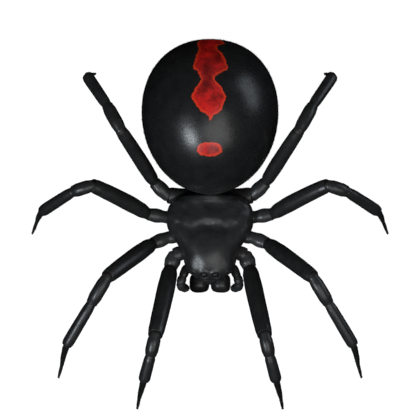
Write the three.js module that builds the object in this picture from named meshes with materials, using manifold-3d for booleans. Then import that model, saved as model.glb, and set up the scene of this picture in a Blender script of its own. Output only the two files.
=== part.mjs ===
// Life-size model of an adult female black widow spider, standing with its legs spread.
// Millimetres, +Z up. The head points along -Y. The origin is on the floor, under the
// middle of the space that the spider takes up. Places are given as out from the middle
// line, along the body towards the back, and up from the floor.

import * as THREE from 'three';
import { mergeVertices } from 'three/addons/utils/BufferGeometryUtils.js';
import Module from 'manifold-3d';

const wasm = await Module();
wasm.setup();

// Driving dimensions: the clearances between neighbouring parts

const jointGap = 0.25;
const organGap = 0.08;
const eyeGap = 0.05;

// Driving dimensions: the abdomen

const abdomenHalfWidth = 3.5;
const abdomenWidestAlong = 5.77;
const abdomenFrontLength = 4.2;
const abdomenRearLength = 3.74;
const abdomenAxisHeight = 4.75;
const abdomenRise = 3.55;
const abdomenDrop = 3.65;
const abdomenFrontFullness = 2;
const abdomenRearFullness = 2.15;
const abdomenTailDroop = 0.45;

// Driving dimensions: the head and thorax in one shell. Each station gives its place along
// the body, half its width at the edge of the shell, and the heights of that edge, of the
// back and of the belly there.

const shellStations = [
  { along: -3.08, halfWidth: 0, edge: 3, back: 3, belly: 3 },
  { along: -2.98, halfWidth: 0.28, edge: 3, back: 3.36, belly: 2.84 },
  { along: -2.72, halfWidth: 0.7, edge: 3, back: 3.8, belly: 2.72 },
  { along: -2.4, halfWidth: 1.14, edge: 3, back: 4.12, belly: 2.64 },
  { along: -1.95, halfWidth: 1.31, edge: 3, back: 4.34, belly: 2.46 },
  { along: -1.4, halfWidth: 1.42, edge: 3, back: 4.4, belly: 1.98 },
  { along: -0.8, halfWidth: 1.76, edge: 3, back: 4.28, belly: 1.9 },
  { along: -0.2, halfWidth: 2.13, edge: 3, back: 4.04, belly: 1.88 },
  { along: 0.35, halfWidth: 2.2, edge: 3, back: 3.93, belly: 1.9 },
  { along: 0.9, halfWidth: 2.1, edge: 2.98, back: 3.78, belly: 1.98 },
  { along: 1.32, halfWidth: 1.74, edge: 2.94, back: 3.58, belly: 2.16 },
  { along: 1.55, halfWidth: 1.1, edge: 2.88, back: 3.3, belly: 2.36 },
  { along: 1.62, halfWidth: 0, edge: 2.8, back: 2.8, belly: 2.8 },
];
const shellBackFullness = 2.3;
const bellyShares = [[1, 0], [0.72, 0.2], [0.48, 0.56], [0.44, 0.94], [0.3, 1], [0, 1]];
const foveaAlong = 0.14;
const foveaDepth = 0.16;
const foveaReach = 0.3;
const headGrooveEnd = { out: 1.3, along: -1.2 };
const headGrooveDepth = 0.12;
const thoraxGrooveEnds = [
  { out: 2.1, along: -0.3 },
  { out: 2.2, along: 0.85 },
  { out: 1.25, along: 1.5 },
];
const thoraxGrooveDepth = 0.06;
const grooveReach = 0.17;

// Driving dimensions: the waist between thorax and abdomen

const waistWidth = 0.8;
const waistFront = { out: 0, along: 1.1, up: 2.62 };
const waistRear = { out: 0, along: 3.1, up: 3.1 };

// Driving dimensions: the jaws and their fangs

const jaw = { out: 0.6, along: -2.97, up: 2.2, halfWidth: 0.46, halfDepth: 0.5, halfHeight: 1.1 };
const jawTaper = 0.3;
const jawFullness = 2.6;
const jawPlanFullness = 3;
const fangBaseWidth = 0.3;
const fangTipWidth = 0.08;
const fangPath = [
  { out: 0.56, along: -3, up: 1.4 },
  { out: 0.55, along: -3.04, up: 1.1 },
  { out: 0.48, along: -3, up: 0.9 },
  { out: 0.36, along: -2.88, up: 0.78 },
  { out: 0.22, along: -2.72, up: 0.74 },
];

// Driving dimensions: the eyes, by their place on the shell as a share of the way from the
// front station to the rear one, and as degrees up from the edge

const eyes = [
  { name: 'anterior_median', way: 0.105, degrees: 53, width: 0.3 },
  { name: 'anterior_lateral', way: 0.17, degrees: 36, width: 0.27 },
  { name: 'posterior_median', way: 0.206, degrees: 74, width: 0.4 },
  { name: 'posterior_lateral', way: 0.238, degrees: 41, width: 0.25 },
];
const eyeSink = 0.25;

// Driving dimensions: the widths of a leg's segments, and where its joints lie

const legWidths = {
  trochanter: 0.74,
  patella: 0.69,
  tibia: 0.62,
  metatarsus: 0.5,
  tarsus: 0.44,
};
const legs = [
  {
    name: 'leg_1',
    coxaWidth: 0.68,
    femurWidth: 0.9,
    joints: [
      { out: 0.72, along: -1.18, up: 2.2 },
      { out: 1.81, along: -1.56, up: 2.5 },
      { out: 2.02, along: -2.17, up: 2.72 },
      { out: 2.79, along: -5.61, up: 6 },
      { out: 3.03, along: -6.65, up: 5.7 },
      { out: 3.38, along: -7.95, up: 5.2 },
      { out: 3.63, along: -8.88, up: 1.35 },
      { out: 3.74, along: -9.46, up: 0 },
    ],
  },
  {
    name: 'leg_2',
    coxaWidth: 0.68,
    femurWidth: 0.84,
    joints: [
      { out: 0.82, along: -0.5, up: 2.2 },
      { out: 2.18, along: -0.66, up: 2.55 },
      { out: 2.92, along: -0.95, up: 2.75 },
      { out: 5.23, along: -2.64, up: 5.8 },
      { out: 6.05, along: -4, up: 5.4 },
      { out: 7.33, along: -6.14, up: 4.4 },
      { out: 7.6, along: -7.16, up: 1.25 },
      { out: 7.79, along: -7.86, up: 0 },
    ],
  },
  {
    name: 'leg_3',
    coxaWidth: 0.68,
    femurWidth: 0.81,
    joints: [
      { out: 0.85, along: 0.24, up: 2.2 },
      { out: 2.33, along: 0.4, up: 2.55 },
      { out: 3.17, along: 0.54, up: 2.75 },
      { out: 6.01, along: 2.02, up: 5 },
      { out: 7, along: 1.7, up: 4.7 },
      { out: 8.59, along: 0.69, up: 3.1 },
      { out: 8.88, along: 0.19, up: 1.1 },
      { out: 9.14, along: -0.46, up: 0 },
    ],
  },
  {
    name: 'leg_4',
    coxaWidth: 0.86,
    femurWidth: 0.72,
    joints: [
      { out: 0.82, along: 1.26, up: 2.24 },
      { out: 2.26, along: 1.5, up: 2.55 },
      { out: 2.84, along: 2.15, up: 2.75 },
      { out: 4.52, along: 4.78, up: 6.3 },
      { out: 5.24, along: 6.08, up: 5.65 },
      { out: 6.24, along: 7.56, up: 4.35 },
      { out: 6, along: 7.72, up: 1.5 },
      { out: 5.8, along: 7.78, up: 0 },
    ],
  },
];

// Driving dimensions: a pedipalp, the short feeler beside each jaw

const palpJoints = [
  { out: 0.36, along: -2.04, up: 1.98 },
  { out: 0.82, along: -2, up: 2.07 },
  { out: 1.17, along: -2.13, up: 2.17 },
  { out: 1.48, along: -2.67, up: 2.34 },
  { out: 1.62, along: -3.02, up: 2.2 },
  { out: 1.57, along: -3.22, up: 1.82 },
  { out: 1.33, along: -3.32, up: 1.39 },
];
const palpWidths = { coxa: 0.48, trochanter: 0.48, femur: 0.46, patella: 0.46, tibia: 0.46, tarsus: 0.44 };

// Driving dimensions: the spinnerets, under the back of the abdomen

const spinneretsAlong = 7.35;
const spinneretBaseWidth = 0.9;
const spinneretBaseDepth = 0.16;
const spinneretPairs = [
  { out: 0.23, along: -0.2, width: 0.38, length: 0.44 },
  { out: 0.1, along: 0.02, width: 0.2, length: 0.36 },
  { out: 0.2, along: 0.22, width: 0.32, length: 0.42 },
];
const tubercle = { along: 0.5, width: 0.32, length: 0.28 };
const spinneretLean = 0.12;

// The fineness of the facets

const shellRings = 28;
const shellSides = 30;
const abdomenRings = 24;
const abdomenSides = 36;
const legSides = 9;
const palpSides = 8;
const jawRings = 10;
const jawSides = 14;
const fangSides = 7;
const eyeRings = 6;
const eyeSides = 10;
const mergeDistance = 1e-4;

// The outline of each kind of segment: how far along it, and how wide there

const segmentShapes = {
  palpCoxa: [[0, 0.9], [0.5, 1], [1, 0.85]],
  coxa: [[0, 0.62], [0.5, 0.88], [0.85, 1], [1, 0.92]],
  trochanter: [[0, 0.88], [0.5, 1], [1, 0.86]],
  femur: [[0, 0.76], [0.14, 0.95], [0.34, 1.03], [0.92, 0.96], [1, 0.88]],
  patella: [[0, 0.84], [0.3, 1], [0.75, 1], [1, 0.85]],
  tibia: [[0, 0.86], [0.2, 0.97], [0.92, 1], [1, 0.9]],
  metatarsus: [[0, 0.98], [0.5, 0.96], [1, 0.88]],
  tarsus: [[0, 1], [0.5, 0.88], [1, 0.62]],
  spinneret: [[0, 1], [0.75, 0.84], [1, 0.5]],
  mound: [[0, 1], [1, 0.8]],
};
const endRounding = [[0.62, 0], [0.45, 0.62]];

// Colours and finish of the parts

const cuticleLook = { color: 0x17181b, roughness: 0.32, metalness: 0 };
const abdomenLook = { color: 0x141416, roughness: 0.38, metalness: 0 };
const legLook = { color: 0x1b1c20, roughness: 0.36, metalness: 0 };
const eyeLook = { color: 0x0b0b0e, roughness: 0.08, metalness: 0 };
const fangLook = { color: 0x2a1410, roughness: 0.22, metalness: 0 };

const spider = new THREE.Group();

// Helpers for places, curves and surfaces

function place(side, spot) {
  return new THREE.Vector3(side * spot.out, spot.along, spot.up);
}

function shareOf(table, share) {
  const last = table.length - 1;
  const step = Math.min(Math.floor(share * last), last - 1);
  const within = share * last - step;
  return table[step].map((value, k) => THREE.MathUtils.lerp(value, table[step + 1][k], within));
}

function superellipse(share, fullness) {
  return (1 - Math.abs(share) ** fullness) ** (1 / fullness);
}

function bareGeometry(geometry) {
  const bare = geometry.clone();
  bare.deleteAttribute('normal');
  bare.deleteAttribute('uv');
  return mergeVertices(bare, mergeDistance);
}

function enclosedVolume(geometry) {
  const spots = geometry.attributes.position;
  const [a, b, c] = [new THREE.Vector3(), new THREE.Vector3(), new THREE.Vector3()];
  let volume = 0;
  for (let i = 0; i < geometry.index.count; i += 3) {
    a.fromBufferAttribute(spots, geometry.index.getX(i));
    b.fromBufferAttribute(spots, geometry.index.getX(i + 1));
    c.fromBufferAttribute(spots, geometry.index.getX(i + 2));
    volume += a.dot(b.cross(c)) / 6;
  }
  return volume;
}

function facingOut(geometry) {
  if (enclosedVolume(geometry) < 0) {
    geometry.index.array.reverse();
  }
  return geometry;
}

function reshape(geometry, newPlace) {
  const shaped = bareGeometry(geometry);
  const spots = shaped.attributes.position;
  const spot = new THREE.Vector3();
  for (let i = 0; i < spots.count; i += 1) {
    spot.fromBufferAttribute(spots, i);
    spots.setXYZ(i, ...newPlace(spot));
  }
  return facingOut(shaped);
}

function grown(geometry, gap) {
  const bigger = bareGeometry(geometry);
  bigger.computeVertexNormals();
  const spots = bigger.attributes.position;
  const normals = bigger.attributes.normal;
  for (let i = 0; i < spots.count; i += 1) {
    spots.setXYZ(
      i,
      spots.getX(i) + normals.getX(i) * gap,
      spots.getY(i) + normals.getY(i) * gap,
      spots.getZ(i) + normals.getZ(i) * gap,
    );
  }
  return bigger;
}

// Solids for joining and cutting

function solidOf(geometry) {
  const bare = facingOut(bareGeometry(geometry));
  const corners = bare.index.array;
  const triangles = [];
  for (let i = 0; i < corners.length; i += 3) {
    const [a, b, c] = [corners[i], corners[i + 1], corners[i + 2]];
    if (a !== b && b !== c && c !== a) {
      triangles.push(a, b, c);
    }
  }
  const vertProperties = new Float32Array(bare.attributes.position.array);
  const triVerts = new Uint32Array(triangles);
  return new wasm.Manifold(new wasm.Mesh({ numProp: 3, vertProperties, triVerts }));
}

function largestPiece(solid) {
  return solid.decompose().reduce((best, piece) => (piece.volume() > best.volume() ? piece : best));
}

function joined(solids) {
  return solids.reduce((whole, solid) => whole.add(solid));
}

function cut(solid, cutters) {
  return cutters.reduce((rest, cutter) => rest.subtract(cutter), solid);
}

function addPart(name, solid, look) {
  const { vertProperties, triVerts } = largestPiece(solid).getMesh();
  const geometry = new THREE.BufferGeometry();
  geometry.setAttribute('position', new THREE.BufferAttribute(vertProperties, 3));
  geometry.setIndex(new THREE.BufferAttribute(triVerts, 1));
  const part = new THREE.Mesh(geometry, new THREE.MeshStandardMaterial(look));
  part.name = name;
  spider.add(part);
}

const sides = [
  { suffix: 'left', sign: 1 },
  { suffix: 'right', sign: -1 },
];

// The shell of the head and thorax

const edgeLine = new THREE.CatmullRomCurve3(
  shellStations.map((station) => new THREE.Vector3(station.halfWidth, station.along, station.edge)),
  false,
  'catmullrom',
);
const heightLine = new THREE.CatmullRomCurve3(
  shellStations.map((station) => new THREE.Vector3(station.back, station.along, station.belly)),
  false,
  'catmullrom',
);

function grooveDepth(out, along, end, depth) {
  const start = new THREE.Vector2(0, foveaAlong);
  const run = new THREE.Vector2(end.out, end.along).sub(start);
  const spot = new THREE.Vector2(Math.abs(out), along).sub(start);
  const share = THREE.MathUtils.clamp(spot.dot(run) / run.lengthSq(), 0, 1);
  const distance = spot.distanceTo(run.multiplyScalar(share));
  return depth * Math.exp(-((distance / grooveReach) ** 2));
}

function backRelief(out, along) {
  const foveaDistance = Math.hypot(out, along - foveaAlong);
  const fovea = foveaDepth * Math.exp(-((foveaDistance / foveaReach) ** 2));
  const headGroove = grooveDepth(out, along, headGrooveEnd, headGrooveDepth);
  const grooves = thoraxGrooveEnds.map((end) => grooveDepth(out, along, end, thoraxGrooveDepth));
  return -Math.max(fovea, headGroove, ...grooves);
}

function shellPoint(way, angle, relief = true) {
  const edge = edgeLine.getPoint(way);
  const heights = heightLine.getPoint(way);
  const halfWidth = Math.max(edge.x, 0);
  const upward = Math.sin(angle);
  const outward = Math.cos(angle);
  if (upward < 0) {
    const [wide, deep] = shareOf(bellyShares, Math.min(1, -Math.asin(upward) / (Math.PI / 2)));
    const down = Math.max(0, edge.z - heights.z);
    return [Math.sign(outward) * wide * halfWidth, edge.y, edge.z - down * deep];
  }
  const out = halfWidth * Math.sign(outward) * Math.abs(outward) ** (2 / shellBackFullness);
  const rise = Math.max(0, heights.x - edge.z) * upward ** (2 / shellBackFullness);
  const carved = relief ? backRelief(out, edge.y) * upward * Math.min(1, halfWidth) : 0;
  return [out, edge.y, edge.z + rise + carved];
}

function shellGeometry(relief) {
  return reshape(new THREE.SphereGeometry(1, shellSides, shellRings), (spot) => {
    const way = Math.acos(THREE.MathUtils.clamp(spot.y, -1, 1)) / Math.PI;
    return shellPoint(way, Math.atan2(spot.z, spot.x), relief);
  });
}

const shell = solidOf(shellGeometry(true));
const shellClearance = solidOf(grown(shellGeometry(false), jointGap));

// Each eye is a small ball in a socket of the shell

function eyeSeat(eye, side) {
  const angle = THREE.MathUtils.degToRad(side > 0 ? eye.degrees : 180 - eye.degrees);
  const nudge = 0.01;
  const seat = new THREE.Vector3(...shellPoint(eye.way, angle));
  const ahead = new THREE.Vector3(...shellPoint(eye.way + nudge, angle)).sub(seat);
  const across = new THREE.Vector3(...shellPoint(eye.way, angle + nudge)).sub(seat);
  const outwards = across.cross(ahead).normalize();
  if (outwards.z < 0) {
    outwards.negate();
  }
  return seat.addScaledVector(outwards, -eyeSink * eye.width);
}

function ball(centre, width) {
  const sphere = new THREE.SphereGeometry(width / 2, eyeSides, eyeRings);
  return solidOf(sphere.translate(centre.x, centre.y, centre.z));
}

const sockets = [];
for (const { suffix, sign } of sides) {
  for (const eye of eyes) {
    const seat = eyeSeat(eye, sign);
    sockets.push(ball(seat, eye.width + 2 * eyeGap));
    addPart(`eye_${eye.name}_${suffix}`, ball(seat, eye.width), eyeLook);
  }
}
addPart('prosoma', cut(shell, sockets), cuticleLook);

// The abdomen

function abdomenPoint(spot) {
  const towardsBack = spot.y > 0;
  const length = towardsBack ? abdomenRearLength : abdomenFrontLength;
  const fullness = towardsBack ? abdomenRearFullness : abdomenFrontFullness;
  const round = superellipse(spot.y, fullness);
  const ring = Math.max(Math.hypot(spot.x, spot.z), mergeDistance);
  const height = spot.z > 0 ? abdomenRise : abdomenDrop;
  const droop = towardsBack ? abdomenTailDroop * spot.y ** 2 : 0;
  return [
    (abdomenHalfWidth * round * spot.x) / ring,
    abdomenWidestAlong + length * spot.y,
    abdomenAxisHeight - droop + (height * round * spot.z) / ring,
  ];
}

const abdomenGeometry = reshape(
  new THREE.SphereGeometry(1, abdomenSides, abdomenRings),
  abdomenPoint,
);
const abdomenClearance = solidOf(grown(abdomenGeometry, jointGap));
addPart('abdomen', solidOf(abdomenGeometry), abdomenLook);

// A limb segment, turned round its own axis, with rounded ends

function segment(from, to, width, shape, sideCount) {
  const run = new THREE.Vector3().subVectors(to, from);
  const length = run.length();
  const radius = width / 2;
  const [firstWide] = shape.map((row) => row[1]);
  const lastWide = shape.at(-1)[1];
  const outline = [
    ...endRounding.map(([reach, wide]) => [-reach * radius * firstWide, wide * firstWide]),
    ...shape.map(([share, wide]) => [share * length, wide]),
    ...endRounding.map(([reach, wide]) => [length + reach * radius * lastWide, wide * lastWide]).reverse(),
  ];
  const profile = outline.map(([at, wide]) => new THREE.Vector2(wide * radius, at));
  const turned = new THREE.LatheGeometry(profile, sideCount);
  const upright = new THREE.Vector3(0, 1, 0);
  turned.applyQuaternion(new THREE.Quaternion().setFromUnitVectors(upright, run.normalize()));
  return solidOf(turned.translate(from.x, from.y, from.z));
}

function limb(joints, side, segments, sideCount) {
  const spots = joints.map((spot) => place(side, spot));
  return joined(
    segments.map(([kind, width], k) => (
      segment(spots[k], spots[k + 1], width, segmentShapes[kind], sideCount)
    )),
  );
}

// The floor trims the tip of each leg to a small flat

const floorBlock = new THREE.BoxGeometry(40, 40, 4).translate(0, 0, -2);
const belowFloor = solidOf(floorBlock);

for (const leg of legs) {
  const segments = [
    ['coxa', leg.coxaWidth],
    ['trochanter', legWidths.trochanter],
    ['femur', leg.femurWidth],
    ['patella', legWidths.patella],
    ['tibia', legWidths.tibia],
    ['metatarsus', legWidths.metatarsus],
    ['tarsus', legWidths.tarsus],
  ];
  for (const { suffix, sign } of sides) {
    const whole = limb(leg.joints, sign, segments, legSides);
    addPart(`${leg.name}_${suffix}`, cut(whole, [shellClearance, belowFloor]), legLook);
  }
}

// The pedipalps, the jaws and the fangs

const palpSegments = [
  ['palpCoxa', palpWidths.coxa],
  ['trochanter', palpWidths.trochanter],
  ['femur', palpWidths.femur],
  ['patella', palpWidths.patella],
  ['tibia', palpWidths.tibia],
  ['tarsus', palpWidths.tarsus],
];

function jawGeometry(side) {
  return reshape(new THREE.SphereGeometry(1, jawSides, jawRings), (spot) => {
    const squared = Math.abs(spot.x) ** jawPlanFullness + Math.abs(spot.z) ** jawPlanFullness;
    const ring = Math.max(squared ** (1 / jawPlanFullness), mergeDistance);
    const narrowing = 1 - jawTaper * (0.5 - spot.y / 2) ** 2;
    const round = (superellipse(spot.y, jawFullness) * narrowing) / ring;
    return [
      side * (jaw.out + jaw.halfWidth * round * spot.x),
      jaw.along + jaw.halfDepth * round * spot.z,
      jaw.up + jaw.halfHeight * spot.y,
    ];
  });
}

for (const { suffix, sign } of sides) {
  const palp = limb(palpJoints, sign, palpSegments, palpSides);
  addPart(`pedipalp_${suffix}`, cut(palp, [shellClearance]), legLook);
  addPart(`chelicera_${suffix}`, cut(solidOf(jawGeometry(sign)), [shellClearance]), cuticleLook);

  const steps = fangPath.length - 1;
  const fangSegments = fangPath.slice(0, steps).map((spot, k) => {
    const start = THREE.MathUtils.lerp(fangBaseWidth, fangTipWidth, k / steps);
    const end = THREE.MathUtils.lerp(fangBaseWidth, fangTipWidth, (k + 1) / steps);
    const shape = [[0, 1], [1, end / start]];
    return segment(place(sign, spot), place(sign, fangPath[k + 1]), start, shape, fangSides);
  });
  const jawClearance = solidOf(grown(jawGeometry(sign), organGap));
  addPart(`fang_${suffix}`, cut(joined(fangSegments), [jawClearance]), fangLook);
}

// The waist

const waist = segment(
  place(1, waistFront),
  place(1, waistRear),
  waistWidth,
  segmentShapes.metatarsus,
  legSides,
);
addPart('pedicel', cut(waist, [shellClearance, abdomenClearance]), cuticleLook);

// The spinnerets: three pairs of short cones and the tubercle behind them

function bellyHeight(along) {
  const share = (along - abdomenWidestAlong) / abdomenRearLength;
  const round = superellipse(share, abdomenRearFullness);
  return abdomenAxisHeight - abdomenTailDroop * share ** 2 - abdomenDrop * round;
}

function cone(out, along, width, length) {
  const root = bellyHeight(spinneretsAlong + along);
  const start = { out, along: spinneretsAlong + along - spinneretLean / 2, up: root + length / 2 };
  const end = { out, along: spinneretsAlong + along + spinneretLean, up: root - length };
  return segment(place(1, start), place(1, end), width, segmentShapes.spinneret, fangSides);
}

const moundTop = { out: 0, along: spinneretsAlong, up: bellyHeight(spinneretsAlong) + abdomenTailDroop };
const moundEnd = {
  out: 0,
  along: spinneretsAlong + spinneretLean,
  up: bellyHeight(spinneretsAlong) - spinneretBaseDepth,
};
const mound = segment(
  place(1, moundTop),
  place(1, moundEnd),
  spinneretBaseWidth,
  segmentShapes.mound,
  jawSides,
);
const cones = spinneretPairs.flatMap((pair) => [
  cone(-pair.out, pair.along, pair.width, pair.length),
  cone(pair.out, pair.along, pair.width, pair.length),
]);
const tip = cone(0, tubercle.along, tubercle.width, tubercle.length);
const spinneretClearance = solidOf(grown(abdomenGeometry, organGap));
addPart('spinnerets', cut(joined([mound, ...cones, tip]), [spinneretClearance]), cuticleLook);

export default spider;
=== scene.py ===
import math

import bpy
import numpy as np
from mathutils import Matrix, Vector


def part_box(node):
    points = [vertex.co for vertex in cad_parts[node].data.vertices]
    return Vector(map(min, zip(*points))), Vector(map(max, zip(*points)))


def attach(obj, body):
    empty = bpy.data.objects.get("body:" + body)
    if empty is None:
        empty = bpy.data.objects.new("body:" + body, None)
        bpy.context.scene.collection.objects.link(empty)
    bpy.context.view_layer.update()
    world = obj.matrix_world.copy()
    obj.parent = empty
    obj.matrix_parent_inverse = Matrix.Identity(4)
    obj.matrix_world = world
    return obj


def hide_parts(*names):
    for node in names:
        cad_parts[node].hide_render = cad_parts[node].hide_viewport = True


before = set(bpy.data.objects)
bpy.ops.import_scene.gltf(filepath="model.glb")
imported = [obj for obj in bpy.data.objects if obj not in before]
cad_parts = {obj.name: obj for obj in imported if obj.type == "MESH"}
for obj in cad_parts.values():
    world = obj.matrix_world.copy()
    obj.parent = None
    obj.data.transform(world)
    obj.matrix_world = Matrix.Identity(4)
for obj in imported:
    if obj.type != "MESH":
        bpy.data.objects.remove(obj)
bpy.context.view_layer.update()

# Looks of a life-size adult female black widow spider that stands with its legs spread, seen
# from straight above. Lengths are millimetres in the model's frame and become metres where a
# mesh is made. The head points along -Y, +Z is up, and the spider's own left is +X.

MM = 0.001
SIDES = {"left": 1, "right": -1}
RNG = np.random.default_rng(8)

# Driving sizes of the body

ABDOMEN = {
    "half_width": 3.5, "widest": 5.77, "front": 4.2, "rear": 3.74, "axis": 4.75,
    "rise": 3.55, "drop": 3.65, "front_fullness": 2.0, "rear_fullness": 2.15, "droop": 0.45,
}
# Each station of the shell: along, half width, height of the edge, of the back and of the belly
SHELL_STATIONS = [
    (-3.08, 0, 3, 3, 3),
    (-2.98, 0.28, 3, 3.36, 2.84),
    (-2.72, 0.7, 3, 3.8, 2.72),
    (-2.4, 1.14, 3, 4.11, 2.64),
    (-1.95, 1.31, 3, 4.32, 2.46),
    (-1.4, 1.42, 3, 4.4, 1.98),
    (-0.8, 1.76, 3, 4.31, 1.9),
    (-0.2, 2.13, 3, 4.05, 1.88),
    (0.35, 2.2, 3, 3.94, 1.9),
    (0.9, 2.1, 2.98, 3.78, 2.04),
    (1.32, 1.76, 2.94, 3.7, 2.3),
    (1.56, 1.3, 2.88, 3.5, 2.5),
    (1.67, 0, 2.8, 2.8, 2.8),
]
SHELL_FULLNESS = 2.45
BELLY_SHARES = [(1, 0), (0.72, 0.2), (0.48, 0.56), (0.44, 0.94), (0.3, 1), (0, 1)]
JAW = {
    "out": 0.545, "along": -2.985, "up": 2.2, "half_width": 0.535, "half_depth": 0.5,
    "half_height": 1.1, "taper": 0.3, "fullness": 2.6, "plan_fullness": 3.4,
}
FANG_PATH = [(0.56, -3, 1.4), (0.55, -3.04, 1.1), (0.48, -3, 0.9), (0.36, -2.88, 0.78), (0.22, -2.72, 0.74)]
FANG_WIDTHS = (0.3, 0.05)
FANG_TAPER = 0.8
WAIST_PATH = [(0, 1.1, 2.62), (0, 1.8, 2.66), (0, 2.3, 2.82), (0, 3.1, 3.1)]
WAIST_WIDTH = 0.72
WAIST_SHAPE = [(0, 1.2), (0.35, 0.8), (0.6, 0.78), (1, 1.2)]

# Driving sizes of the legs: each segment's kind and width, and the joints from the hip outwards.
# The widths of the hips are those of coxa and trochanter.

LEG_SEGMENTS = ["coxa", "trochanter", "femur", "patella", "tibia", "metatarsus", "tarsus"]
LEG_WIDTHS = {"patella": 0.69, "tibia": 0.62, "metatarsus": 0.36, "tarsus": 0.2}
FEMUR_WIDTHS = {1: 0.9, 2: 0.84, 3: 0.81, 4: 0.72}
HIP_WIDTHS = {1: (0.78, 0.84), 2: (0.68, 0.74), 3: (0.68, 0.74), 4: (0.86, 0.76)}
LEG_JOINTS = {
    1: [(0.72, -1.18, 2.5), (1.81, -1.56, 2.58), (2.02, -2.17, 2.52), (2.79, -5.61, 6),
        (3.03, -6.65, 5.7), (3.38, -7.95, 4.9), (3.63, -8.88, 1.35), (3.74, -9.46, 0)],
    2: [(0.82, -0.5, 2.2), (2.18, -0.66, 2.55), (2.92, -0.95, 2.75), (5.23, -2.64, 5.8),
        (6.05, -4, 5.4), (7.33, -6.14, 4.4), (7.6, -7.16, 1.25), (7.79, -7.86, 0)],
    3: [(0.85, 0.24, 2.2), (2.33, 0.4, 2.55), (3.17, 0.54, 2.75), (6.01, 2.02, 5.2),
        (7, 1.7, 4.85), (8.59, 0.69, 3.1), (8.88, 0.19, 1.1), (9.14, -0.46, 0)],
    4: [(0.8, 1.5, 2.24), (2.16, 1.48, 2.55), (2.84, 2.15, 2.75), (4.52, 4.78, 6.3),
        (5.24, 6.08, 5.65), (6.28, 7.6, 4.35), (6.1, 7.7, 1.5), (5.9, 7.76, 0)],
}
PALP_SEGMENTS = ["coxa", "trochanter", "femur", "patella", "tibia", "palp_tarsus"]
PALP_WIDTHS = {
    "coxa": 0.48, "trochanter": 0.46, "femur": 0.46, "patella": 0.48, "tibia": 0.5, "palp_tarsus": 0.46,
}
PALP_JOINTS = [
    (0.36, -2.04, 1.98), (0.82, -2, 2.07), (1.17, -2.13, 2.17), (1.4, -2.67, 2.34),
    (1.51, -3.02, 2.2), (1.42, -3.22, 1.82), (1.14, -3.28, 1.39),
]
# The outline of each kind of segment: how far along it, and how wide there
SEGMENT_SHAPES = {
    "coxa": [(0, 0.7), (0.5, 0.9), (0.86, 1), (1, 0.92)],
    "trochanter": [(0, 0.84), (0.5, 1), (1, 0.86)],
    "femur": [(0, 0.72), (0.14, 0.95), (0.36, 1.03), (0.7, 1), (0.92, 0.95), (1, 0.86)],
    "patella": [(0, 0.84), (0.3, 1), (0.75, 1), (1, 0.85)],
    "tibia": [(0, 0.82), (0.2, 0.95), (0.8, 1), (0.94, 0.98), (1, 0.86)],
    "metatarsus": [(0, 0.84), (0.12, 0.98), (0.5, 0.82), (1, 0.6)],
    "tarsus": [(0, 0.96), (0.5, 0.86), (0.9, 0.62), (1, 0.5)],
    "palp_tarsus": [(0, 0.86), (0.4, 1), (0.8, 0.78), (1, 0.42)],
}
# How far the painted highlight of the hips, a paler colour that stands in for light caught on their tops,
# shows on a segment, and on which legs it shows more
HIP_PAINTED_LIGHT_SHARES = {"coxa": 0.8, "trochanter": 0.9, "patella": 0.1}
LEG_PAINTED_LIGHT_SHARES = {1: 1, 2: 1, 3: 0.7, 4: 0.55}
PALP_PAINTED_LIGHT_SHARE = 0.6
SEGMENT_BOWS = {"femur": 0.035, "patella": 0.06, "tibia": 0.012, "metatarsus": 0.015}


# Small helpers for numbers


def unit(vectors):
    return vectors / np.maximum(np.linalg.norm(vectors, axis=-1, keepdims=True), 1e-12)


def spline(knots, shares):
    """Points at shares from 0 to 1 of a smooth curve through evenly spaced knots."""
    knots = np.asarray(knots, float)
    knots = np.vstack([2 * knots[0] - knots[1], knots, 2 * knots[-1] - knots[-2]])
    last = len(knots) - 3
    at = np.clip(shares, 0, 1) * last
    step = np.minimum(at.astype(int), last - 1)
    t = (at - step)[..., None]
    a, b, c, d = (knots[step + k] for k in range(4))
    return 0.5 * (2 * b + (c - a) * t + (2 * a - 5 * b + 4 * c - d) * t**2 + (3 * b - a - 3 * c + d) * t**3)


def superellipse(share, fullness):
    """Height of a squared arch of height 1 at a share of its half width."""
    return np.maximum(0, 1 - np.abs(share) ** fullness) ** (1 / fullness)


def squared(circle, fullness):
    """Cosines or sines round a circle, pushed out towards a square with rounded corners."""
    return np.sign(circle) * np.abs(circle) ** (2 / fullness)


def full_turn(count):
    return np.linspace(0, math.tau, count, endpoint=False)


def wheel_of(turns, across, up):
    """Directions at these turns from across towards up."""
    turns = turns[..., None]
    return np.cos(turns) * across + np.sin(turns) * up


def pole_to_pole(count, inset):
    """Angles from one pole of a round form to the other, short of both by the inset."""
    return np.linspace(inset, math.pi - inset, count)


def eased(shares, table):
    """Values of a table of (share, value) rows, with a smooth turn at each row."""
    at, values = np.asarray(table, float).T
    k = np.clip(np.searchsorted(at, shares, side="right") - 1, 0, len(at) - 2)
    t = np.clip((shares - at[k]) / (at[k + 1] - at[k]), 0, 1)
    t = t * t * (3 - 2 * t)
    return values[k] + (values[k + 1] - values[k]) * t


def mound(points, centre, reach):
    """A round bump of height 1 that fades out over its reach, which may differ along the axes."""
    return np.exp(-(((points - centre) / reach) ** 2).sum(-1))


def mounds(points, rows):
    """Height of several round bumps together; a row gives height, centre and reach."""
    return sum(height * mound(points, centre, reach) for height, centre, reach in rows)


def ridge(distance, reach):
    """A crest of height 1 that falls off on both sides over its reach."""
    return np.exp(-((distance / reach) ** 2))


def line_gap(spots, knots):
    """Distance of flat spots from an open line of straight runs."""
    knots = np.asarray(knots, float)
    nearest = np.full(spots.shape[:-1], np.inf)
    for a, b in zip(knots[:-1], knots[1:]):
        run = b - a
        share = np.clip(((spots - a) @ run) / (run @ run), 0, 1)
        gap = np.linalg.norm(spots - a - share[..., None] * run, axis=-1)
        nearest = np.minimum(nearest, gap)
    return nearest


# Meshes


def new_object(name, data):
    item = bpy.data.objects.new(name, data)
    bpy.context.scene.collection.objects.link(item)
    return item


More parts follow.
